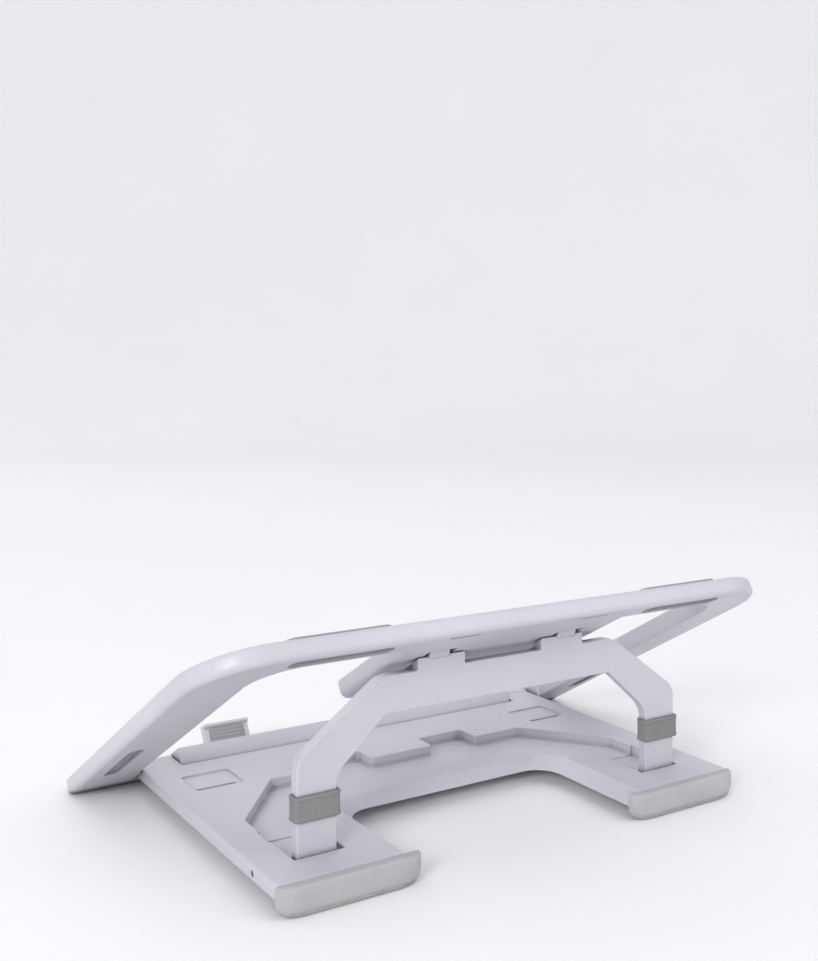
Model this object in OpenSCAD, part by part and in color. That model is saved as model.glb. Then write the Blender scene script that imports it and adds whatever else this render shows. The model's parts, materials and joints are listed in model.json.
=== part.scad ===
// Folding laptop stand: a sloping top frame hinged to a flat base, held up by a
// folding strut whose hooks catch in slots under the frame's tongue.
// X runs across the stand, +Y to its rear and +Z up. It stands on Z = 0.

/* [Top frame] */
// Width of the top frame
frame_w = 289; // [286:1:300]
// Width of each side rail
rail_w = 28; // [27:0.5:28]
// Thickness of the top frame
frame_t = 8; // [7.6:0.1:8.4]
// Slope of the top frame above the table, in degrees
slope = 29.5; // [29.5]
// Reach of the frame in front of the hinge, along its slope
frame_fore = 20.4; // [19.5:0.1:22]
// Reach of the frame behind the hinge, along its slope
frame_aft = 180.5; // [180:0.1:183]
// Half width of the centre tongue that carries the hook slots
tongue_half = 52.5; // [50:0.5:53]

/* [Base] */
// Width of the base plate
base_w = 230.4; // [229:0.2:231]
// Underside of the base plate above the table
base_bottom = 6; // [6]
// Top face of the base plate above the table
base_top = 12; // [12]
// Length of the base plate from its front edge to its rear edge
base_l = 140.2; // [138:0.2:140.4]
// Depth of the recess that takes the folded strut
recess_depth = 4.8; // [4.8:0.05:5]

/* [Strut] */
// Half of the strut's outer width over its legs
leg_outer = 98; // [97:0.1:98.6]
// Width of each leg
leg_w = 17.2; // [16:0.1:18.6]
// Thickness of the strut
strut_t = 5; // [4.6:0.1:5]
// Height of the sleeves' lower edge above the table
sleeve_z = 25.6; // [23:0.2:29]

/* [Laptop stops] */
// Distance of each stop from the middle
stop_x = 62; // [45:1:75]
// Width of each stop
stop_w = 24; // [16:1:28]
// Length of each stop from its pivot
stop_l = 15.1; // [13:0.1:15.6]

/* [Hidden] */

// Colours
plastic = [0.86, 0.86, 0.90];
rubber = [0.53, 0.55, 0.55];
steel = [0.62, 0.63, 0.65];

// Fits and small allowances
eps = 0.01;
press = 0.02;        // interference of a pressed pin, on its radius
running = 0.05;      // clearance of a turning pin, on its radius
seat = 0.1;          // gap around a rubber strip in its slot
table_gap = 0.3;     // height of the frame's front facet above the table
arc_steps = 8;       // straight pieces in each rounded corner
edge_steps = 3;      // straight pieces in each rounded edge
bore_fn = 48;        // any value above 12 gives a true circle

// Frame: distances s along the slope and n square to it, both from the hinge
frame_below = 3.9;                        // underside of the frame below the hinge
frame_above = frame_t - frame_below;      // top face of the frame above the hinge
opening_half = frame_w / 2 - rail_w;      // half width of the big opening
rear_rail_s = 166.8;                      // front edge of the rear rail
tongue_s = 93;                            // front edge of the tongue
tongue_back = 170;                        // the tongue runs into the rear rail up to here
outer_edge = [2.6, 2];                    // edge radius below and above, around the frame
inner_edge = [1.4, 0.8];                  // the same around the opening
tongue_edge = [3, 1];                     // the same around the tongue
front_rail_s = 11.5;                      // rear edge of the front rail
notch_half = 96.5;                        // inner side of the notches for the ears
notch_s = -4.6;                           // front side of those notches
slot_rows = [127.3, 143.3, 159.3];        // rear edge of each row of hook slots
slot_l = 9.9;                             // length of a hook slot along the slope
slot_w = 14.5;                            // width of a hook slot
slot_depth = 4.2;
mark_s = 176.4;                           // shallow grooves behind the slots
mark_size = [14, 1.4, 0.8];

// Hinge between frame and base
hinge_z = 9.25;
hinge_setback = 14;                       // hinge axis in front of the base's front edge
hinge_pin_r = 1.55;
hinge_pin_span = [91, 125];
ear_span = [97.2, base_w / 2];
ear_r = 3.4;

// Grips: silicone strips that fill slots in the frame and stand proud on top
grip_proud = 1;
grip_lip = 1;                             // width of the lip around the slot
grip_recess = 1.4;                        // strip's lower end above the underside
rear_grip = [86.5, 172.8, 45, 8.4];       // x, s, length, width
side_grip = [133.5, 42.5, 47, 7];

// Stops
stop_s = -13.5;
stop_n = 2;
stop_t = 4;
stop_knuckle_r = 2.9;
stop_gap = 0.4;
stop_lip = [1.6, 2.4];                    // overhang and height of the lip
stop_pin_r = 1.1;
stop_pin_grip = 5;                        // length of pin held on each side
liner_t = 1;
liner_span = [3.6, 12.2];
liner_side = 3;                           // bare plastic beside the liner

// The extreme points in Y set where the hinge lies, so the middle of the box is at Y = 0
fore_reach = (stop_t / 2 - stop_s) * cos(slope) + (stop_n + stop_l) * sin(slope);
aft_reach = outer_edge[0] + (frame_aft - outer_edge[0]) * cos(slope) + (frame_below - outer_edge[0]) * sin(slope);
hinge_y = (fore_reach - aft_reach) / 2;
base_y = hinge_y + hinge_setback;         // front edge of the base plate

// Base: Y distances are from its front edge
recess_floor = base_top - recess_depth;
base_edge = [0.6, 1.3];                   // edge radius below and above
wing_half = [55, 61];                     // inner side of the wings, bottom and top
cut_front = [79.5, 77.5];                 // front side of the rear cut-out, bottom and top
cut_r = 12;
tenon = [64, 110, 3];                     // wing's rear tenon: inner side, outer side, length
tenon_z = [base_bottom + 0.8, base_top - 2];

// Strut: pivot in the base, legs upright
pivot_y = 118.8;
pivot_z = 8.8;
strut_rear_y = 122.4;                     // rear face of the upright strut
strut_pin_r = 1.3;
strut_pin_span = [70, 113.5];
knuckle_r = 2.6;
leg_inner = leg_outer - leg_w;
outer_bend_z = 49;
inner_bend_z = 41;
bar_z = [61, 76.3];                       // underside and top of the crossbar
bar_half = [58.3, 60.5];                  // half length of those two edges
tab_x = 31.5;
tab_w = 23;
tip_x = 33.2;
tip_w = 10;
tip_gap = 0.4;                            // tabs stop this far under the frame
groove = 0.8;                             // seat of the sleeve in the leg's front face
sleeve_h = 10;
sleeve_wall = 1.7;
sleeve_front = 0.2;                       // sleeve stands this proud in front

// Feet and pads
foot_x = [54, base_w / 2 + 0.8];
foot_y = [base_l + 0.2, 144.8];
foot_r = [4, 3.5];                        // plan radius of its outer and inner ends
// Levels up its rear face: height, and how far the outline lies inside at the ends and at the rear
foot_levels = [[0, 4, 2.2], [0.5, 2.6, 1.2], [1.5, 1.4, 0.5], [3, 0.5, 0], [5, 0, 0],
               [base_top - 1, 0, 0], [base_top - 0.4, 0.3, 0.3], [base_top, 1, 0.9]];
foot_under = [62, 107, 129];              // block under the wing: x from, x to, y from
pad_x = [70, 104];
pad_y = [5, 19];

// ---- outlines ----

function unit(v) = v / norm(v);
function flat(p) = [p[0], p[1]];
function turn(a) = a > 180 ? a - 360 : a < -180 ? a + 360 : a;

// Arc of radius b[2] that rounds the corner at b between its neighbours a and c
function corner(a, b, c) =
    let (r = b[2])
    r == 0 ? [flat(b)] :
    let (
        u = unit(flat(a) - flat(b)),
        v = unit(flat(c) - flat(b)),
        half = acos(u * v) / 2,
        centre = flat(b) + unit(u + v) * r / sin(half),
        first = flat(b) + u * r / tan(half) - centre,
        last = flat(b) + v * r / tan(half) - centre,
        from = atan2(first[1], first[0]),
        sweep = turn(atan2(last[1], last[0]) - from)
    )
    [for (i = [0 : arc_steps])
        let (angle = from + sweep * i / arc_steps)
        centre + r * [cos(angle), sin(angle)]];

// Closed outline through points [x, y, corner radius]
function rounded(p) = [for (i = [0 : len(p) - 1])
    each corner(p[(i + len(p) - 1) % len(p)], p[i], p[(i + 1) % len(p)])];

// Points of the right half, then the same points mirrored for the left half
function both_halves(p) = concat(p, [for (i = [len(p) - 1 : -1 : 0]) [-p[i][0], p[i][1], p[i][2]]]);

// Rectangle with rounded corners: half width, y from, y to, corner radii in front and behind,
// and grow to move the whole outline outward
function rect_points(half, y, r, grow = 0) = both_halves([[half + grow, y[0] - grow, r[0] + grow],
    [half + grow, y[1] + grow, r[1] + grow]]);

// Heights in a slab z[0] to z[1] with rounded edges, each with how far it lies inside the outline
function edge_levels(z, r) = concat(
    [for (i = [0 : edge_steps]) let (a = 90 * (1 - i / edge_steps)) [z[0] + r[0] * (1 - sin(a)), r[0] * (1 - cos(a))]],
    [for (i = [0 : edge_steps]) let (a = 90 * i / edge_steps) [z[1] - r[1] * (1 - sin(a)), r[1] * (1 - cos(a))]]);

// Slab with rounded edges. side is -1 for a solid and 1 for an opening, whose edges flare outward
module soft_slab(half, y, corner_r, z, edge, side = -1)
    hull() for (level = edge_levels(z, edge))
        translate([0, 0, level[0] - eps / 2]) linear_extrude(eps)
            polygon(rounded(rect_points(half, y, corner_r, side * level[1])));

module stadium(l, w) {
    square([l - w, w], center = true);
    for (end = [-1, 1])
        translate([end * (l - w) / 2, 0]) circle(d = w, $fn = bore_fn);
}

// ---- placement ----

// Puts children given as (x, s, n) from the hinge onto the sloping frame
module on_slope() translate([0, hinge_y, hinge_z]) rotate([slope, 0, 0]) children();

// Puts children given from the base's front edge into place
module on_base() translate([0, base_y, 0]) children();

// side is 1 on the right and -1 on the left
module on_side(side) mirror([side < 0 ? 1 : 0, 0, 0]) children();

module on_both_sides() for (side = [-1, 1]) on_side(side) children();

// Round bar along X from span[0] to span[1]
module x_bar(span, r) translate([span[0], 0, 0]) rotate([0, 90, 0])
    cylinder(h = span[1] - span[0], r = r, $fn = bore_fn);

// ---- base ----

base_half = base_w / 2;

// Recess in the shape of the folded strut, with two finger notches in its front edge
recess_points = both_halves([[17, 39, 1], [17, 26, 2], [43, 26, 2], [43, 39, 1], [70, 39, 3],
    [99.7, 77, 3], [99.7, 123.3, 1], [77.5, 123.3, 1], [77.5, 115.6, 0], [78.6, 115.6, 0],
    [78.6, 88.5, 3], [57.3, 66.6, 2]]);
pivot_pocket = [[77.5, 115.6], [99.7, 123.3]];
sleeve_pocket = [[78.2, 91.4], [100.6, 103]];
sleeve_pocket_floor = 6.8;
hand_pocket_points = [[81, 15, 2], [104, 15, 2], [104, 35.4, 2], [81, 35.4, 2]];
hand_pocket_depth = 0.8;
hand_slit = [[83.5, 31.2, 1], [103, 31.2, 1], [103, 34.8, 1], [83.5, 34.8, 1]];

module box_between(lo, hi, z0, z1) translate([lo[0], lo[1], z0])
    cube([hi[0] - lo[0], hi[1] - lo[1], z1 - z0]);

// Level i (0 bottom, 1 top) of the flared cut-out between the wings
module cut_level(i, z) translate([0, 0, z]) linear_extrude(eps)
    polygon(rounded(both_halves([[wing_half[i], cut_front[i], cut_r], [wing_half[i], base_l + 10, 0]])));

module base_plate() color(plastic) on_base() difference() {
    union() {
        difference() {
            soft_slab(base_half, [-hinge_setback, base_l], [1.8, 3], [base_bottom, base_top], base_edge);
            box_between([-ear_span[0], -2 * hinge_setback], [ear_span[0], 0], 0, 2 * base_top);
        }
        on_both_sides() {
            translate([0, -hinge_setback, hinge_z]) x_bar(ear_span, ear_r);
            box_between([tenon[0], base_l - 1], [tenon[1], base_l + tenon[2]], tenon_z[0], tenon_z[1]);
        }
    }
    hull() {
        cut_level(0, base_bottom - eps);
        cut_level(1, base_top);
    }
    translate([0, 0, recess_floor]) linear_extrude(base_top) polygon(rounded(recess_points));
    on_both_sides() {
        box_between(pivot_pocket[0], pivot_pocket[1], 0, base_top + 1);
        box_between(sleeve_pocket[0], sleeve_pocket[1], sleeve_pocket_floor, base_top + 1);
        translate([0, 0, base_top - hand_pocket_depth]) linear_extrude(base_top)
            polygon(rounded(hand_pocket_points));
        translate([0, 0, base_bottom - 1]) linear_extrude(base_top) polygon(rounded(hand_slit));
        translate([0, pivot_y, pivot_z]) x_bar([strut_pin_span[0], base_half + 1], strut_pin_r - press);
        translate([0, -hinge_setback, hinge_z]) x_bar([ear_span[0] - 1, base_half + 1], hinge_pin_r + running);
    }
}

// Rubber boot on a wing's rear end, with a block under the wing
module rear_foot(side) color(rubber) on_base() on_side(side) difference() {
    union() {
        hull() for (level = foot_levels)
            translate([0, 0, min(level[0], base_top - eps)]) linear_extrude(eps) polygon(rounded([
                [foot_x[1] - level[1], foot_y[0], 0],
                [foot_x[1] - level[1], foot_y[1] - level[2], foot_r[0] - level[2]],
                [foot_x[0] + level[1], foot_y[1] - level[2], foot_r[1] - level[2]],
                [foot_x[0] + level[1], foot_y[0], 0]]));
        box_between([foot_under[0], foot_under[2]], [foot_under[1], foot_y[0] + 1], 0, base_bottom);
    }
    box_between([tenon[0], foot_y[0] - 1], [tenon[1], base_l + tenon[2]], tenon_z[0], tenon_z[1]);
}

module front_pad(side) color(rubber) on_base() on_side(side) linear_extrude(base_bottom)
    polygon(rounded([[pad_x[0], pad_y[0], 4], [pad_x[1], pad_y[0], 4],
                     [pad_x[1], pad_y[1], 4], [pad_x[0], pad_y[1], 4]]));

module strut_pin(side) color(steel) on_base() on_side(side)
    translate([0, pivot_y, pivot_z]) x_bar(strut_pin_span, strut_pin_r);

// ---- top frame ----

frame_n = [-frame_below, frame_above];

module at_rear_grip() translate([rear_grip[0], rear_grip[1], 0]) children();
module at_side_grip() translate([side_grip[0], side_grip[1], 0]) rotate([0, 0, 90]) children();

// Pocket that the folded stop lies in, seen from the stop's pivot
module stop_pocket() {
    wide = stop_w + 2 * stop_gap;
    reach = stop_knuckle_r + stop_gap;
    depth = stop_t / 2 + stop_lip[0] + stop_gap;
    x_bar([-wide / 2, wide / 2], reach);
    translate([-wide / 2, -reach, 0]) cube([wide, reach + eps, frame_t]);
    translate([-wide / 2, 0, -depth]) cube([wide, stop_l + 2 * stop_gap, frame_t + depth]);
}

module top_frame() color(plastic) difference() {
    on_slope() difference() {
        union() {
            difference() {
                soft_slab(frame_w / 2, [-frame_fore, frame_aft], [10, 30], frame_n, outer_edge);
                soft_slab(opening_half, [front_rail_s, rear_rail_s], [1, 17], frame_n, inner_edge, 1);
                on_both_sides() box_between([notch_half, notch_s], [opening_half, front_rail_s + 3],
                                            -frame_t, frame_t);
            }
            soft_slab(tongue_half, [tongue_s, tongue_back], [9, 0], frame_n, tongue_edge);
        }
        on_both_sides() {
            translate([0, 0, -frame_t]) linear_extrude(2 * frame_t) {
                at_rear_grip() stadium(rear_grip[2], rear_grip[3]);
                at_side_grip() stadium(side_grip[2], side_grip[3]);
            }
            for (s = slot_rows)
                translate([tip_x - slot_w / 2, s - slot_l, -frame_below - 1])
                    cube([slot_w, slot_l, slot_depth + 1]);
            translate([tip_x - mark_size[0] / 2, mark_s - mark_size[1] / 2, -frame_below - 1])
                cube([mark_size[0], mark_size[1], mark_size[2] + 1]);
            translate([stop_x, stop_s, stop_n]) {
                stop_pocket();
                x_bar([-1, 1] * (stop_w / 2 + stop_pin_grip), stop_pin_r - press);
            }
            x_bar(hinge_pin_span, hinge_pin_r - press);
        }
    }
    translate([-frame_w, hinge_y - 100, table_gap - 100]) cube([2 * frame_w, 100, 100]);
}

module hinge_pin(side) color(steel) on_slope() on_side(side) x_bar(hinge_pin_span, hinge_pin_r);

// Silicone strip with a lip that lies on the frame's top face
module grip_strip(l, w) {
    translate([0, 0, grip_recess - frame_below]) linear_extrude(frame_t - grip_recess)
        stadium(l - 2 * seat, w - 2 * seat);
    translate([0, 0, frame_above]) linear_extrude(grip_proud)
        stadium(l + 2 * grip_lip, w + 2 * grip_lip);
}

module rear_grip(side) color(rubber) on_slope() on_side(side) at_rear_grip()
    grip_strip(rear_grip[2], rear_grip[3]);

module side_grip(side) color(rubber) on_slope() on_side(side) at_side_grip()
    grip_strip(side_grip[2], side_grip[3]);

// ---- laptop stops ----

module at_stop(side) on_slope() on_side(side) translate([stop_x, stop_s, stop_n]) children();

// Turns a profile drawn in (s, n) into a slab along X
module along_x(w) translate([-w / 2, 0, 0]) rotate([90, 0, 90]) linear_extrude(w) children();

module stop(side) color(plastic) at_stop(side) difference() {
    union() {
        x_bar([-1, 1] * stop_w / 2, stop_knuckle_r);
        along_x(stop_w) polygon([[-stop_t / 2, 0], [stop_t / 2, 0],
            [stop_t / 2, stop_l - stop_lip[1]], [stop_t / 2 + stop_lip[0], stop_l - stop_lip[1] + 1],
            [stop_t / 2 + stop_lip[0], stop_l], [-stop_t / 2, stop_l]]);
    }
    x_bar([-1, 1] * stop_w, stop_pin_r + running);
}

module stop_liner(side) color(rubber) at_stop(side)
    translate([0, stop_t / 2, 0]) along_x(stop_w - 2 * liner_side)
        polygon([[0, liner_span[0]], [liner_t, liner_span[0] + liner_t],
                 [liner_t, liner_span[1] - liner_t / 2], [0, liner_span[1]]]);

module stop_pin(side) color(steel) at_stop(side)
    x_bar([-1, 1] * (stop_w / 2 + stop_pin_grip), stop_pin_r);

// ---- strut ----

strut_front_y = strut_rear_y - strut_t;
strut_points = both_halves([[leg_inner, pivot_z, 0], [leg_outer, pivot_z, 0],
    [leg_outer, outer_bend_z, 10], [bar_half[1], bar_z[1], 12]]);
strut_window = both_halves([[leg_inner, pivot_z - 1, 0], [leg_inner, inner_bend_z, 12],
    [bar_half[0], bar_z[0], 3]]);

// Height of the plane n over a point y of the base
function slope_z(y, n) = hinge_z + (y + hinge_setback) * tan(slope) + n / cos(slope);

// Tip that leans back into its slot: [s, n] corners
tip_rear_s = slot_rows[2] - 0.5;
tip_points = [[149.8, -frame_below - 1.5], [154.1, -frame_below - 1.5],
              [tip_rear_s, -frame_below + 2.6], [tip_rear_s, -frame_below + 3.1],
              [tip_rear_s - 4.4, -frame_below + 3.1]];

module strut_frame() color(plastic) {
    difference() {
        on_base() difference() {
            union() {
                translate([0, strut_rear_y, 0]) rotate([90, 0, 0]) linear_extrude(strut_t)
                    difference() {
                        polygon(rounded(strut_points));
                        polygon(rounded(strut_window));
                    }
                on_both_sides() {
                    translate([0, pivot_y, pivot_z]) x_bar([leg_inner, leg_outer], knuckle_r);
                    translate([tab_x, 0, 0]) along_x(tab_w) polygon([
                        [strut_front_y, bar_z[1] - 1], [strut_rear_y, bar_z[1] - 1],
                        [strut_rear_y, slope_z(strut_rear_y, -frame_below - tip_gap)],
                        [strut_front_y, slope_z(strut_front_y, -frame_below - tip_gap)]]);
                }
            }
            on_both_sides() {
                translate([0, pivot_y, pivot_z])
                    x_bar([leg_inner - 1, leg_outer + 1], strut_pin_r + running);
                box_between([leg_inner - 1, strut_front_y - 1], [leg_outer + 1, strut_front_y + groove],
                            sleeve_z, sleeve_z + sleeve_h);
            }
        }
    }
    on_slope() on_both_sides() translate([tip_x, 0, 0]) along_x(tip_w) polygon(tip_points);
}

// Rubber sleeve around a leg
module sleeve(side) color(rubber) on_base() on_side(side) translate([0, 0, sleeve_z])
    linear_extrude(sleeve_h) difference() {
        polygon(rounded([
            [leg_inner - sleeve_wall, strut_front_y - sleeve_front, 1],
            [leg_outer + sleeve_wall, strut_front_y - sleeve_front, 1],
            [leg_outer + sleeve_wall, strut_rear_y + sleeve_wall, 1.5],
            [leg_inner - sleeve_wall, strut_rear_y + sleeve_wall, 1.5]]));
        translate([leg_inner, strut_front_y + groove]) square([leg_w, strut_t - groove]);
    }

// ---- what each node draws ----

base_plate();
rear_foot(-1);  // rear_foot_left
rear_foot(1);  // rear_foot_right
front_pad(-1);  // front_pad_left
front_pad(1);  // front_pad_right
strut_pin(-1);  // strut_pin_left
strut_pin(1);  // strut_pin_right
top_frame();
hinge_pin(-1);  // hinge_pin_left
hinge_pin(1);  // hinge_pin_right
rear_grip(-1);  // rear_grip_left
rear_grip(1);  // rear_grip_right
side_grip(-1);  // side_grip_left
side_grip(1);  // side_grip_right
stop_pin(-1);  // stop_pin_left
stop_pin(1);  // stop_pin_right
stop(-1);  // stop_left
stop(1);  // stop_right
stop_liner(-1);  // stop_liner_left
stop_liner(1);  // stop_liner_right
strut_frame();
sleeve(-1);  // sleeve_left
sleeve(1);  // sleeve_right
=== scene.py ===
"""Looks of a folding laptop stand: materials, rubber details, stage, lights and camera around the frame."""
import json
import math

import bmesh
import bpy
from mathutils import Matrix, Vector


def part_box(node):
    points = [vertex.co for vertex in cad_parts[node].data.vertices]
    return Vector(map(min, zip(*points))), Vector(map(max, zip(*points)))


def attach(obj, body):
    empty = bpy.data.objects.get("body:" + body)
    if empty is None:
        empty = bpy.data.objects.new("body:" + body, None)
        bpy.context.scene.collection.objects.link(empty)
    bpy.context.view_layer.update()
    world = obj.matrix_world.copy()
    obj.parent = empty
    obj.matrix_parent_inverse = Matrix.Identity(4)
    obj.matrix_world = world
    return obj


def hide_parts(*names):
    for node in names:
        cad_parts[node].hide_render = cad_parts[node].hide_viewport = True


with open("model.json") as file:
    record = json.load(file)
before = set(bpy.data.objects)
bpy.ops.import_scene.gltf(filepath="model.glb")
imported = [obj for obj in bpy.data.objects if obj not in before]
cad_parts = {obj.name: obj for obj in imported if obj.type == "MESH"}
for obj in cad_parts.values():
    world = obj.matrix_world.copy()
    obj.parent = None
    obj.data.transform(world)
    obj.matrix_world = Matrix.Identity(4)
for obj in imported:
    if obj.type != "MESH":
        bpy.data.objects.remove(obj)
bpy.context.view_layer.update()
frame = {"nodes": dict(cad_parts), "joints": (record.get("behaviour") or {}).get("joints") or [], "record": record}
nodes = frame["nodes"]
hinge = Vector(next(j["pos_m"] for j in frame["joints"] if j["name"] == "frame_hinge"))

MM = 0.001
SLOPE = math.radians(29.5)  # of the top frame above the table

# On the slope: x across, y along the slope, z square to it, from the hinge
on_slope = Matrix.Translation(hinge) @ Matrix.Rotation(SLOPE, 4, "X")


def extent(node, axes):
    """Lowest and highest corner of a node's vertices, measured along other axes."""
    inverse = axes.inverted()
    points = [inverse @ v.co for v in nodes[node].data.vertices]
    return (Vector(min(p[i] for p in points) for i in range(3)),
            Vector(max(p[i] for p in points) for i in range(3)))


# ---------------------------------------------------------------- mesh building

WELD = 0.002 * MM        # points closer than this are one
LEAST_RADIUS = 0.1 * MM  # of a corner in an outline
FINE_EDGE = 38           # degrees: edges of the rubber parts stay sharp above this


def shade(mesh, angle):
    """Smooth, except across edges over an angle in degrees."""
    mesh.shade_smooth()
    mesh.set_sharp_from_angle(angle=math.radians(angle))


def link(name, bm, material, place=Matrix.Identity(4), angle=FINE_EDGE):
    """Turns a bmesh into an object in the scene."""
    mesh = bpy.data.meshes.new(name)
    bmesh.ops.remove_doubles(bm, verts=bm.verts[:], dist=WELD)
    bmesh.ops.recalc_face_normals(bm, faces=bm.faces[:])
    bm.to_mesh(mesh)
    bm.free()
    mesh.transform(place)
    shade(mesh, angle)
    mesh.materials.append(material)
    piece = bpy.data.objects.new(name, mesh)
    bpy.context.scene.collection.objects.link(piece)
    return piece


def unite(piece, other):
    """Joins another solid that overlaps the piece, so that both are one closed mesh."""
    union = piece.modifiers.new("unite", "BOOLEAN")
    union.operation = "UNION"
    union.solver = "EXACT"
    union.object = other
    bpy.context.view_layer.update()
    united = bpy.data.meshes.new_from_object(piece.evaluated_get(bpy.context.evaluated_depsgraph_get()))
    piece.modifiers.clear()
    piece.data = united
    united.name = piece.name
    shade(united, FINE_EDGE)
    bpy.data.objects.remove(other)


def corner_arc(cx, cy, rx, ry, start, steps):
    """Points along a quarter turn, from a start angle in degrees."""
    for i in range(steps + 1):
        a = math.radians(start + 90 * i / steps)
        yield cx + rx * math.cos(a), cy + ry * math.sin(a)


def round_rect(lo, hi, inset, radius, steps=8):
    """Outline of a rectangle with four equal corners, pulled in by inset."""
    x0, y0, x1, y1 = lo[0] + inset, lo[1] + inset, hi[0] - inset, hi[1] - inset
    r = min(max(radius - inset, LEAST_RADIUS), (x1 - x0) / 2, (y1 - y0) / 2)
    return [point for cx, cy, start in (
        (x1 - r, y0 + r, -90), (x1 - r, y1 - r, 0), (x0 + r, y1 - r, 90), (x0 + r, y0 + r, 180))
        for point in corner_arc(cx, cy, r, r, start, steps)]


def add_loft(bm, rings, caps=(True, True), closed=False):
    """Skin through rings of points that all have the same count."""
    made = [[bm.verts.new(p) for p in ring] for ring in rings]
    n = len(made[0])
    for low, high in zip(made, made[1:] + (made[:1] if closed else [])):
        for i in range(n):
            bm.faces.new((low[i], low[(i + 1) % n], high[(i + 1) % n], high[i]))
    if caps[0] and not closed:
        bm.faces.new(list(reversed(made[0])))
    if caps[1] and not closed:
        bm.faces.new(made[-1])


def add_pad(bm, lo, hi, radius, profile):
    """Solid through outlines at (inset, height) steps, both in millimetres."""
    add_loft(bm, [[(x, y, h * MM) for x, y in round_rect(lo, hi, inset * MM, radius)]
                  for inset, h in profile])


def racetracks(count, start, h, depth, land=1.2, groove=0.7, soft=0.2):
    """Profile steps for grooves that run round a face at height h, one inside the other."""
    lean = 0.08  # of a groove's walls
    steps = []
    for i in range(count):
        a = start + i * (land + groove)
        steps += [(a, h), (a + soft, h - 0.3 * depth), (a + soft + lean, h - depth)]
        steps += [(a + groove - soft - lean, h - depth), (a + groove - soft, h - 0.3 * depth), (a + groove, h)]
    return steps


# ---------------------------------------------------------------- materials


class Nodes:
    """Small helper that wires up one material."""

    def __init__(self, name):
        self.material = bpy.data.materials.new(name)
        self.material.use_nodes = True
        self.tree = self.material.node_tree
        self.shader = self.tree.nodes["Principled BSDF"]
        self.place = self.add("ShaderNodeTexCoord").outputs["Object"]

    def add(self, kind, inputs=(), **settings):
        """New node, with the fixed values of its inputs and its own settings."""
        node = self.tree.nodes.new(kind)
        for key, value in settings.items():
            setattr(node, key, value)
        for key, value in dict(inputs).items():
            node.inputs[key].default_value = value
        return node

    def join(self, source, target):
        self.tree.links.new(source, target)

    def noise(self, scale, detail=3.0, roughness=0.5, stretch=None):
        """Cloudy value with scale cells in a metre, or stretch times as many along each axis."""
        node = self.add("ShaderNodeTexNoise", {"Scale": scale, "Detail": detail, "Roughness": roughness})
        place = self.place
        if stretch:
            mapping = self.add("ShaderNodeMapping", {"Scale": stretch})
            self.join(place, mapping.inputs["Vector"])
            place = mapping.outputs["Vector"]
        self.join(place, node.inputs["Vector"])
        return node.outputs["Fac"]

    def span(self, value, low, high, to_low=0.0, to_high=1.0):
        """Maps low..high to to_low..to_high, and holds the ends."""
        node = self.add("ShaderNodeMapRange", {
            "From Min": low, "From Max": high, "To Min": to_low, "To Max": to_high})
        self.join(value, node.inputs["Value"])
        return node.outputs["Result"]

    def math(self, operation, a, b):
        node = self.add("ShaderNodeMath", operation=operation)
        for socket, value in zip(node.inputs, (a, b)):
            if isinstance(value, (int, float)):
                socket.default_value = value
            else:
                self.join(value, socket)
        return node.outputs[0]

    def mix(self, factor, a, b):
        """Colour a where the factor is 0, b where it is 1."""
        node = self.add("ShaderNodeMix", data_type="RGBA")
        self.join(factor, node.inputs["Factor"])
        for socket, value in ((node.inputs[6], a), (node.inputs[7], b)):
            if isinstance(value, tuple):
                socket.default_value = (*value, 1)
            else:
                self.join(value, socket)
        return node.outputs[2]

    def crevices(self, reach, deep=0.35, open_at=0.95):
        """1 in corners and gaps, 0 in the open."""
        node = self.add("ShaderNodeAmbientOcclusion", {"Distance": reach}, samples=4)
        return self.span(node.outputs["AO"], deep, open_at, 1.0, 0.0)

    def edges(self, radius):
        """1 along sharp edges, 0 on flat faces, with the rounded normal that shows them."""
        bevel = self.add("ShaderNodeBevel", {"Radius": radius}, samples=4)
        plain = self.add("ShaderNodeNewGeometry").outputs["Normal"]
        dot = self.add("ShaderNodeVectorMath", operation="DOT_PRODUCT")
        self.join(bevel.outputs["Normal"], dot.inputs[0])
        self.join(plain, dot.inputs[1])
        return self.span(dot.outputs["Value"], 0.995, 0.86), bevel.outputs["Normal"]

    def bump(self, height, strength, distance, normal=None):
        node = self.add("ShaderNodeBump", {"Strength": strength, "Distance": distance})
        self.join(height, node.inputs["Height"])
        if normal:
            self.join(normal, node.inputs["Normal"])
        return node.outputs["Normal"]


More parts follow.
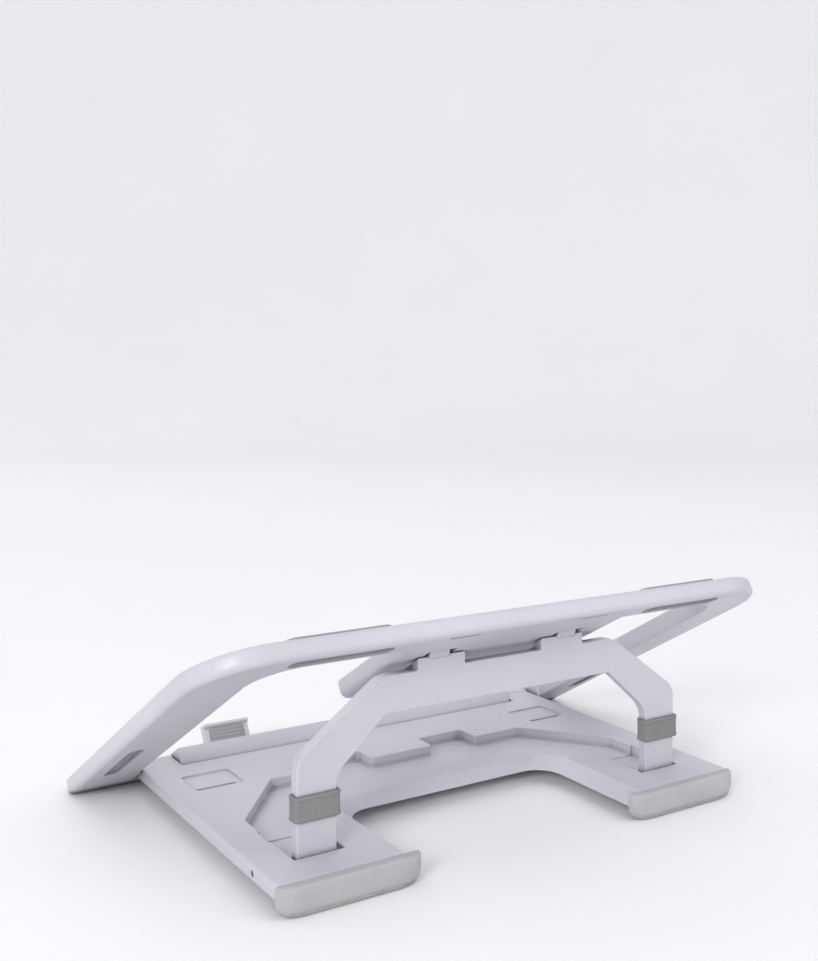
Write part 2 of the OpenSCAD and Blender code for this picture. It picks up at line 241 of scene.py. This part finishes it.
def white_plastic():
    """Satin moulded plastic: cool white, spark-eroded grain, dust and painted shade in the corners, painted shade
    in gaps, rubbed edges with a painted highlight.
    """
    m = Nodes("satin_white_plastic")
    # Colour: soft clouds, fine specks, dust and painted shade in corners, painted shade in gaps, pale edges from
    # rubbing and a painted highlight
    cloud = m.span(m.noise(16, 4), 0.35, 0.65)
    tint = m.mix(cloud, (0.510, 0.506, 0.564), (0.543, 0.539, 0.597))
    speck = m.span(m.noise(900, 2), 0.62, 0.78, 0.0, 0.16)
    tint = m.mix(speck, tint, (0.53, 0.53, 0.58))
    # Painted shade in the corners from ambient occlusion, made patchy like dust: partly dust, partly painted shade
    dust_and_shade = m.math("MULTIPLY", m.crevices(7 * MM), m.span(m.noise(70, 5, 0.6), 0.3, 0.7, 0.12, 0.42))
    tint = m.mix(dust_and_shade, tint, (0.40, 0.38, 0.40))
    # Painted shade: narrow gaps and slits darkened almost to black
    painted_gap_shade = m.math("MULTIPLY", m.crevices(5 * MM, 0.18, 0.62), 0.88)
    tint = m.mix(painted_gap_shade, tint, (0.05, 0.05, 0.055))
    edge, rounded = m.edges(0.8 * MM)
    # Pale edges: partly rubbed wear, partly a painted highlight along the rounded edges
    edge_wear_and_highlight = m.math("MULTIPLY", edge, m.span(m.noise(55, 5, 0.65), 0.42, 0.62, 0.3, 0.85))
    tint = m.mix(edge_wear_and_highlight, tint, (0.80, 0.80, 0.83))
    m.join(tint, m.shader.inputs["Base Color"])
    # Roughness: patchy, duller in the corners where the dust and shade mask is high and in fine scratches,
    # glossier where rubbed
    gloss = m.span(m.noise(34, 5, 0.6), 0.3, 0.7, 0.30, 0.42)
    gloss = m.math("ADD", gloss, m.math("MULTIPLY", dust_and_shade, 0.5))
    scratches = m.span(m.noise(90, 4, 0.7, stretch=(1, 16, 1)), 0.66, 0.72, 0.0, 0.14)
    gloss = m.math("ADD", gloss, scratches)
    gloss = m.math("SUBTRACT", gloss, m.math("MULTIPLY", edge_wear_and_highlight, 0.1))
    m.join(gloss, m.shader.inputs["Roughness"])
    # Relief: moulded grain, and the slow waves of the moulding's flow
    grain = m.bump(m.noise(2300, 3, 0.6), 0.45, 0.06 * MM, rounded)
    flow = m.bump(m.noise(60, 2), 0.16, 0.5 * MM, grain)
    m.join(flow, m.shader.inputs["Normal"])
    m.shader.inputs["Specular IOR Level"].default_value = 0.5
    m.shader.inputs["IOR"].default_value = 1.5
    return m.material


def grey_rubber(name="matt_grey_rubber", tone=1.0):
    """Moulded rubber: matt, finely pitted, with bloom, dust and painted shade in corners, and pale edges that are
    rubbed and carry a painted highlight.
    """
    m = Nodes(name)

    def grey(*color):
        return tuple(tone * c for c in color)

    cloud = m.span(m.noise(40, 5, 0.6), 0.3, 0.7)
    tint = m.mix(cloud, grey(0.285, 0.288, 0.293), grey(0.338, 0.341, 0.345))
    speck = m.span(m.noise(1500, 2), 0.6, 0.75, 0.0, 0.35)
    tint = m.mix(speck, tint, grey(0.45, 0.455, 0.46))
    # Painted shade in the corners from ambient occlusion, made patchy like dust: partly dust, partly painted shade
    dust_and_shade = m.math("MULTIPLY", m.crevices(4 * MM), m.span(m.noise(90, 4), 0.35, 0.65, 0.1, 0.5))
    tint = m.mix(dust_and_shade, tint, grey(0.19, 0.19, 0.19))
    edge, rounded = m.edges(0.5 * MM)
    # Pale edges: partly rubbed wear, partly a painted highlight
    edge_wear_and_highlight = m.math("MULTIPLY", edge, m.span(m.noise(120, 4, 0.6), 0.4, 0.6, 0.0, 0.5))
    tint = m.mix(edge_wear_and_highlight, tint, grey(0.50, 0.51, 0.51))
    m.join(tint, m.shader.inputs["Base Color"])
    m.join(m.span(m.noise(60, 4), 0.3, 0.7, 0.62, 0.80), m.shader.inputs["Roughness"])
    pits = m.bump(m.noise(1900, 3, 0.6), 0.4, 0.06 * MM, rounded)
    m.join(m.bump(m.noise(160, 2), 0.15, 0.25 * MM, pits), m.shader.inputs["Normal"])
    m.shader.inputs["Specular IOR Level"].default_value = 0.35
    return m.material


def steel_pin():
    """Ground steel, with lines round the pin and a few dark spots."""
    m = Nodes("ground_steel")
    lines = m.noise(300, 4, 0.7, stretch=(14, 1, 1))
    tint = m.mix(m.span(lines, 0.3, 0.7), (0.44, 0.45, 0.47), (0.64, 0.65, 0.67))
    stain = m.span(m.noise(220, 5, 0.65), 0.6, 0.8, 0.0, 0.6)
    tint = m.mix(stain, tint, (0.26, 0.23, 0.20))
    m.join(tint, m.shader.inputs["Base Color"])
    m.join(m.span(lines, 0.3, 0.7, 0.24, 0.44), m.shader.inputs["Roughness"])
    m.join(m.bump(lines, 0.3, 0.03 * MM), m.shader.inputs["Normal"])
    m.shader.inputs["Metallic"].default_value = 1.0
    return m.material


def pale_backdrop():
    m = Nodes("pale_backdrop")
    tint = m.mix(m.span(m.noise(3, 4), 0.3, 0.7), (0.862, 0.863, 0.867), (0.876, 0.876, 0.880))
    m.join(tint, m.shader.inputs["Base Color"])
    m.join(m.span(m.noise(8, 3), 0.3, 0.7, 0.85, 0.95), m.shader.inputs["Roughness"])
    m.shader.inputs["Specular IOR Level"].default_value = 0.1
    return m.material


WHITE = white_plastic()
RUBBER = grey_rubber()
BOOT_RUBBER = grey_rubber("pale_grey_rubber", 1.3)
BAND_RUBBER = grey_rubber("band_grey_rubber", 0.68)
STEEL = steel_pin()
SLOTS = {"white_plastic": WHITE, "grey_rubber": RUBBER, "steel_pin": STEEL}


def paint_packed_parts():
    """Gives every CAD node the material of its slot."""
    for part in frame["record"]["subparts"]:
        mesh = nodes[part["node"]].data
        mesh.materials.clear()
        mesh.materials.append(SLOTS[part["material_slot"]])


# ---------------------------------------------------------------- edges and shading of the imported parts

SMOOTH_BELOW = math.radians(34)  # faces that meet at less than this shade as one
BEVEL_ABOVE = math.radians(38)   # edges sharper than this are rounded
FLAT_WITHIN = math.radians(0.6)  # faces this close to one plane are joined


def smoothing_group():
    """Geometry nodes that drop imported normals and shade smooth, except across sharp edges."""
    group = bpy.data.node_groups.new("smooth_by_angle", "GeometryNodeTree")
    for way in ("INPUT", "OUTPUT"):
        group.interface.new_socket(name="Geometry", in_out=way, socket_type="NodeSocketGeometry")
    geometry = group.nodes.new("NodeGroupInput").outputs[0]

    def chain(kind, **inputs):
        nonlocal geometry
        node = group.nodes.new(kind)
        group.links.new(geometry, node.inputs[0])
        for key, value in inputs.items():
            node.inputs[key].default_value = value
        geometry = node.outputs[0]
        return node

    for name in ("custom_normal", "sharp_edge"):
        chain("GeometryNodeRemoveAttribute", Name=name)
    for domain in ("FACE", "EDGE"):
        shading = chain("GeometryNodeSetShadeSmooth")
        shading.domain = domain
        shading.inputs["Shade Smooth"].default_value = domain == "FACE"
    # The second of these, on edges, turns smoothing off where the angle is wide
    angle = group.nodes.new("GeometryNodeInputMeshEdgeAngle")
    wide = group.nodes.new("FunctionNodeCompare")
    wide.operation = "GREATER_THAN"
    group.links.new(angle.outputs["Unsigned Angle"], wide.inputs[0])
    wide.inputs[1].default_value = SMOOTH_BELOW
    group.links.new(wide.outputs[0], shading.inputs["Selection"])
    group.links.new(geometry, group.nodes.new("NodeGroupOutput").inputs[0])
    return group


SMOOTHING = smoothing_group()


def soften(node, bevel_mm=0, segments=3):
    """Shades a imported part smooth. A bevel comes after its flat triangles are joined."""
    part = nodes[node]
    weld = part.modifiers.new("weld", "WELD")
    weld.merge_threshold = WELD
    if bevel_mm:
        flat = part.modifiers.new("flat", "DECIMATE")
        flat.decimate_type = "DISSOLVE"
        flat.angle_limit = FLAT_WITHIN
        bevel = part.modifiers.new("bevel", "BEVEL")
        bevel.width = bevel_mm * MM
        bevel.segments = segments
        bevel.limit_method = "ANGLE"
        bevel.angle_limit = BEVEL_ABOVE
        bevel.use_clamp_overlap = False
        bevel.miter_outer = "MITER_ARC"
    part.modifiers.new("smooth", "NODES").node_group = SMOOTHING
    normals = part.modifiers.new("normals", "WEIGHTED_NORMAL")
    normals.keep_sharp = True


def soften_packed_parts():
    soften("top_frame")
    soften("base_plate")
    soften("strut_frame", 0.5)
    for side in ("left", "right"):
        soften("stop_" + side, 0.4)
        for pin in ("hinge_pin_", "strut_pin_", "stop_pin_"):
            soften(pin + side, 0.25, 2)


# ---------------------------------------------------------------- rubber parts

DOWNWARD = Matrix.Scale(-1, 4, (0, 0, 1))  # turns a pad over, so that its face is its sole


def pair(node):
    return [node + "_right", node + "_left"]


def take_place(piece, body, node):
    """The piece stands for a rubber node and moves with that node's body."""
    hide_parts(node)
    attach(piece, body)


# Boot from the table up: (inset at the ends, inset behind, height), with a groove above the sole
BOOT = [(5.6, 2.2, 0), (4.6, 1.5, 0.15), (3.6, 1.0, 0.5), (2.7, 0.62, 1.0), (2.15, 0.4, 1.45),
        (1.9, 0.3, 1.7), (2.15, 0.62, 1.84), (1.85, 0.62, 2.16), (1.35, 0.26, 2.3), (0.75, 0.1, 3.2),
        (0.25, 0.0, 4.6), (0.0, 0.0, 6.2), (0.0, 0.06, 9.4), (0.05, 0.16, 10.6), (0.22, 0.36, 11.3),
        (0.55, 0.7, 11.75), (1.0, 1.15, 11.95), (1.5, 1.6, 12.0)]
BOOT_DEPTH = 4.6 * MM    # behind the plate
BOOT_CORNER = 8.5 * MM   # width of a corner, seen from above
# Block under the wing: (inset, height before it is turned over), with grooves round its sole
BLOCK = [(0.3, -6.0), (0, -5.7), (0, -0.7), (0.2, -0.2), (0.6, 0)] + racetracks(2, 1.6, 0, 0.8) + [(5.4, 0)]
BLOCK_CORNER = 1.6 * MM
BLOCK_OUTER = 9 * MM     # from the boot's end at the side of the stand
BLOCK_INNER = 8 * MM     # from the boot's other end
BLOCK_OVERLAP = 0.4 * MM


def boot_outline(x0, x1, y0, y1, height):
    """Straight front against the plate; wide elliptical corners behind."""
    rx, ry = BOOT_CORNER, (y1 - y0) * 0.96
    points = [(x1, y0)]
    points += corner_arc(x1 - rx, y1 - ry, rx, ry, 0, 12)
    points += corner_arc(x0 + rx, y1 - ry, rx, ry, 90, 12)
    points.append((x0, y0))
    return [(x, y, height) for x, y in points]


def make_boots():
    for node in pair("rear_foot"):
        lo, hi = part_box(node)
        front = hi.y - BOOT_DEPTH
        shell = bmesh.new()
        add_loft(shell, [
            boot_outline(lo.x + end * MM, hi.x - end * MM, front, hi.y - rear * MM, height * MM)
            for end, rear, height in BOOT])
        low_end, high_end = BLOCK_INNER, BLOCK_OUTER
        if node.endswith("_left"):
            low_end, high_end = BLOCK_OUTER, BLOCK_INNER
        under = bmesh.new()
        add_pad(under, (lo.x + low_end, lo.y), (hi.x - high_end, front + BLOCK_OVERLAP), BLOCK_CORNER, BLOCK)
        under.transform(DOWNWARD)
        block = link(node + "_block", under, BOOT_RUBBER)
        boot = link(node + "_boot", shell, BOOT_RUBBER)
        unite(boot, block)
        take_place(boot, "base", node)


def make_pads():
    """Pads under the base's front, with grooves round their soles."""
    for node in pair("front_pad"):
        lo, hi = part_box(node)
        top = (hi.z - lo.z) / MM
        middle = (hi.y - lo.y) / 2 / MM - 0.1
        sides = [(0.5, -top), (0, -top + 0.5), (0, -0.8), (0.25, -0.2), (0.8, 0)]
        bm = bmesh.new()
        add_pad(bm, lo, hi, 3 * MM, sides + racetracks(3, 1.6, 0, 0.8) + [(middle, 0)])
        bm.transform(DOWNWARD)
        take_place(link(node + "_tread", bm, RUBBER), "base", node)


# Sleeve wall from the inside, round the outside and back: (inset, height)
SLEEVE = [(1.72, 0.5), (1.3, 0.06), (0.9, 0), (0.45, 0.06), (0.14, 0.3), (0, 0.75), (0, 1.15), (0.2, 1.45),
          (0.3, 1.9), (0.34, 5), (0.3, 8.1), (0.2, 8.55), (0, 8.85), (0, 9.25), (0.14, 9.7), (0.45, 9.94),
          (0.9, 10), (1.3, 9.94), (1.72, 9.5)]
SLEEVE_FRONT = 0.56  # thickness of the front wall as a share of the others'
SLEEVE_CORNER = 1.9


def make_sleeves():
    for node in pair("sleeve"):
        lo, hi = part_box(node)
        rings = []
        for inset, height in SLEEVE:
            near = (lo.x + inset * MM, lo.y + inset * SLEEVE_FRONT * MM)
            far = (hi.x - inset * MM, hi.y - inset * MM)
            outline = round_rect(near, far, 0, (SLEEVE_CORNER - inset) * MM)
            rings.append([(x, y, lo.z + height * MM) for x, y in outline])
        bm = bmesh.new()
        add_loft(bm, rings, closed=True)
        take_place(link(node + "_band", bm, BAND_RUBBER, angle=50), "strut", node)


def make_grips():
    """Strips with a lip on the frame's top face, and two grooves round the top."""
    for kind, across in (("rear_grip", 1), ("side_grip", 0)):
        for node in pair(kind):
            lo, hi = extent(node, on_slope)
            bottom, top = lo.z / MM, hi.z / MM
            half = (hi[across] - lo[across]) / 2
            middle = half / MM - 0.05
            stem = [(2.6, bottom + 0.5), (2.3, bottom + 0.1), (2.0, bottom), (1.5, bottom),
                    (1.12, bottom + 0.2), (1.0, bottom + 0.7), (1.0, top - 1.0)]
            lip = [(0.05, top - 1.0), (0, top - 0.9), (0, top - 0.5), (0.12, top - 0.2), (0.45, top)]
            grooves = racetracks(2, 1.1, top, 0.45, land=0.75, groove=0.6, soft=0.14)
            bm = bmesh.new()
            add_pad(bm, lo, hi, half, stem + lip + grooves + [(middle, top)])
            take_place(link(node + "_strip", bm, RUBBER, on_slope), "frame", node)


LINER_RIBS = 5
RIB_STEPS = 6
LINER_SOFT = 0.3 * MM  # chamfer at the liner's two ends


def liner_profile(lo, hi):
    """Flat back and ribbed front of a liner."""
    pitch = (hi.z - lo.z) / LINER_RIBS
    relief = 0.35 * (hi.y - lo.y)
    profile = [(lo.y, lo.z), (lo.y, hi.z)]
    for rib in range(LINER_RIBS):
        top = hi.z - rib * pitch
        for k in range(RIB_STEPS + 1):
            t = k / RIB_STEPS
            profile.append((hi.y - relief * (1 - math.sin(math.pi * t)), top - pitch * (0.04 + 0.92 * t)))
    return profile


def make_liners():
    for node in pair("stop_liner"):
        lo, hi = extent(node, on_slope)
        middle = (lo + hi) / 2
        size = hi - lo
        ends = ((lo.x, LINER_SOFT), (lo.x + LINER_SOFT, 0), (hi.x - LINER_SOFT, 0), (hi.x, LINER_SOFT))
        rings = []
        for x, shrink in ends:
            ky, kz = 1 - 2 * shrink / size.y, 1 - 2 * shrink / size.z
            rings.append([(x, middle.y + (y - middle.y) * ky, middle.z + (z - middle.z) * kz)
                          for y, z in liner_profile(lo, hi)])
        bm = bmesh.new()
        add_loft(bm, rings)
        body = node.replace("stop_liner_", "") + "_stop"
        take_place(link(node + "_ribbed", bm, RUBBER, on_slope), body, node)


# ---------------------------------------------------------------- stage, lights, camera


def make_stage():
    """Floor that curves up into a round wall."""
    reach, bend, height = 3.2, 1.2, 3.0
    turns, bend_steps = 96, 16
    profile = [(0.02, 0.0), (0.5, 0.0), (1.0, 0.0), (reach - bend, 0.0)]
    for i in range(1, bend_steps + 1):
        a = math.radians(90 * i / bend_steps)
        profile.append((reach - bend + bend * math.sin(a), bend - bend * math.cos(a)))
    profile.append((reach, height))
    rings = [[(r * math.cos(2 * math.pi * i / turns), r * math.sin(2 * math.pi * i / turns), z)
              for i in range(turns)] for r, z in profile]
    bm = bmesh.new()
    add_loft(bm, rings, (True, False))
    floor = link("backdrop", bm, pale_backdrop(), angle=60)


LIGHT_AIM = Vector((0, 0, 0.04))  # low in the middle of the stand


def area_light(name, at, size, power, color=(1, 1, 1)):
    data = bpy.data.lights.new(name, "AREA")
    data.shape = "DISK"
    data.size = size
    data.energy = power
    data.color = color
    light = bpy.data.objects.new(name, data)
    light.location = at
    light.rotation_euler = (LIGHT_AIM - Vector(at)).to_track_quat("-Z", "Y").to_euler()
    bpy.context.scene.collection.objects.link(light)


def make_lights():
    world = bpy.data.worlds.new("studio")
    world.use_nodes = True
    sky = world.node_tree.nodes["Background"]
    sky.inputs["Color"].default_value = (0.96, 0.97, 1.0, 1)
    sky.inputs["Strength"].default_value = 0.93
    bpy.context.scene.world = world
    area_light("key", (1.9, 1.35, 1.05), 0.9, 28, (1.0, 0.985, 0.97))
    area_light("fill", (-1.3, 1.5, 1.1), 1.4, 7, (0.96, 0.98, 1.0))
    area_light("front", (0.2, -1.8, 1.5), 1.4, 4)


# Camera: behind the stand on its right, a little above the frame, looking almost level
CAM_AT = Vector((0.2943, 0.4662, 0.2015))
CAM_YAW = math.radians(31.86)
CAM_PITCH = math.radians(2.0)
CAM_ROLL = math.radians(-0.23)
CAM_LENS = 44.0
CAM_SENSOR = 36
CAM_SHIFT_Y = -0.0818


def make_camera():
    data = bpy.data.cameras.new("camera")
    data.lens = CAM_LENS
    data.sensor_width = CAM_SENSOR
    data.shift_y = CAM_SHIFT_Y
    data.clip_start = 0.01
    cam = bpy.data.objects.new("camera", data)
    bpy.context.scene.collection.objects.link(cam)
    ahead = Vector((-math.sin(CAM_YAW) * math.cos(CAM_PITCH),
                    -math.cos(CAM_YAW) * math.cos(CAM_PITCH), -math.sin(CAM_PITCH)))
    right = Vector((-math.cos(CAM_YAW), math.sin(CAM_YAW), 0))
    up = right.cross(ahead)
    right, up = (right * math.cos(CAM_ROLL) + up * math.sin(CAM_ROLL),
                 up * math.cos(CAM_ROLL) - right * math.sin(CAM_ROLL))
    cam.matrix_world = Matrix((
        (right.x, up.x, -ahead.x, CAM_AT.x),
        (right.y, up.y, -ahead.y, CAM_AT.y),
        (right.z, up.z, -ahead.z, CAM_AT.z),
        (0, 0, 0, 1)))
    bpy.context.scene.camera = cam


paint_packed_parts()
soften_packed_parts()
make_boots()
make_pads()
make_sleeves()
make_grips()
make_liners()
make_stage()
make_lights()
make_camera()
bpy.context.scene.view_settings.view_transform = "Standard"
